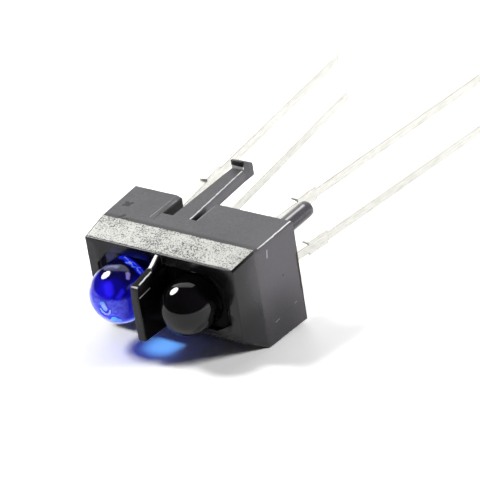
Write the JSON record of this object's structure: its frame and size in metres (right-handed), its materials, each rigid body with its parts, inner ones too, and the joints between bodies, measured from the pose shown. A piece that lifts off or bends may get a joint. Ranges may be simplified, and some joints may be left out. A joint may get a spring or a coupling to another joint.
{
  "type": "reflective optical sensor",
  "caption": "Clip-in reflective sensor: a clear blue emitter lens and a black detector lens side by side in a black housing with snap hooks, locating pins and long solder leads.",
  "frame": {"origin": "middle of the seating face, which meets the circuit board", "axes": "+Y along the leads and hooks, away from the lenses; +X from the blue emitter lens to the black detector lens; +Z out of the long side that carries the silver marking band"},
  "size_m": [0.0105, 0.0266, 0.0068],
  "materials": {
    "black_housing_plastic": "satin moulded",
    "silver_foil": "hot-stamped satin",
    "clear_blue_epoxy": "clear gloss",
    "black_epoxy": "high gloss",
    "tinned_lead": "bright tin plate",
    "emitter_chip_face": "semiconductor face",
    "detector_chip_face": "semiconductor face",
    "silver_glue": "silver-filled glue",
    "gold_wire": "bright gold"
  },
  "bodies": {
    "root": {"housing": "black_housing_plastic", "marking_foil": "silver_foil", "emitter_lens_body": "clear_blue_epoxy", "detector_lens_body": "black_epoxy", "emitter_anode_lead": "tinned_lead", "emitter_cathode_lead": "tinned_lead", "detector_collector_lead": "tinned_lead", "detector_emitter_lead": "tinned_lead", "emitter_chip": "emitter_chip_face", "detector_chip": "detector_chip_face", "emitter_chip_glue": "silver_glue", "detector_chip_glue": "silver_glue", "emitter_bond_wire": "gold_wire", "detector_bond_wire": "gold_wire"}
  },
  "joints": []
}
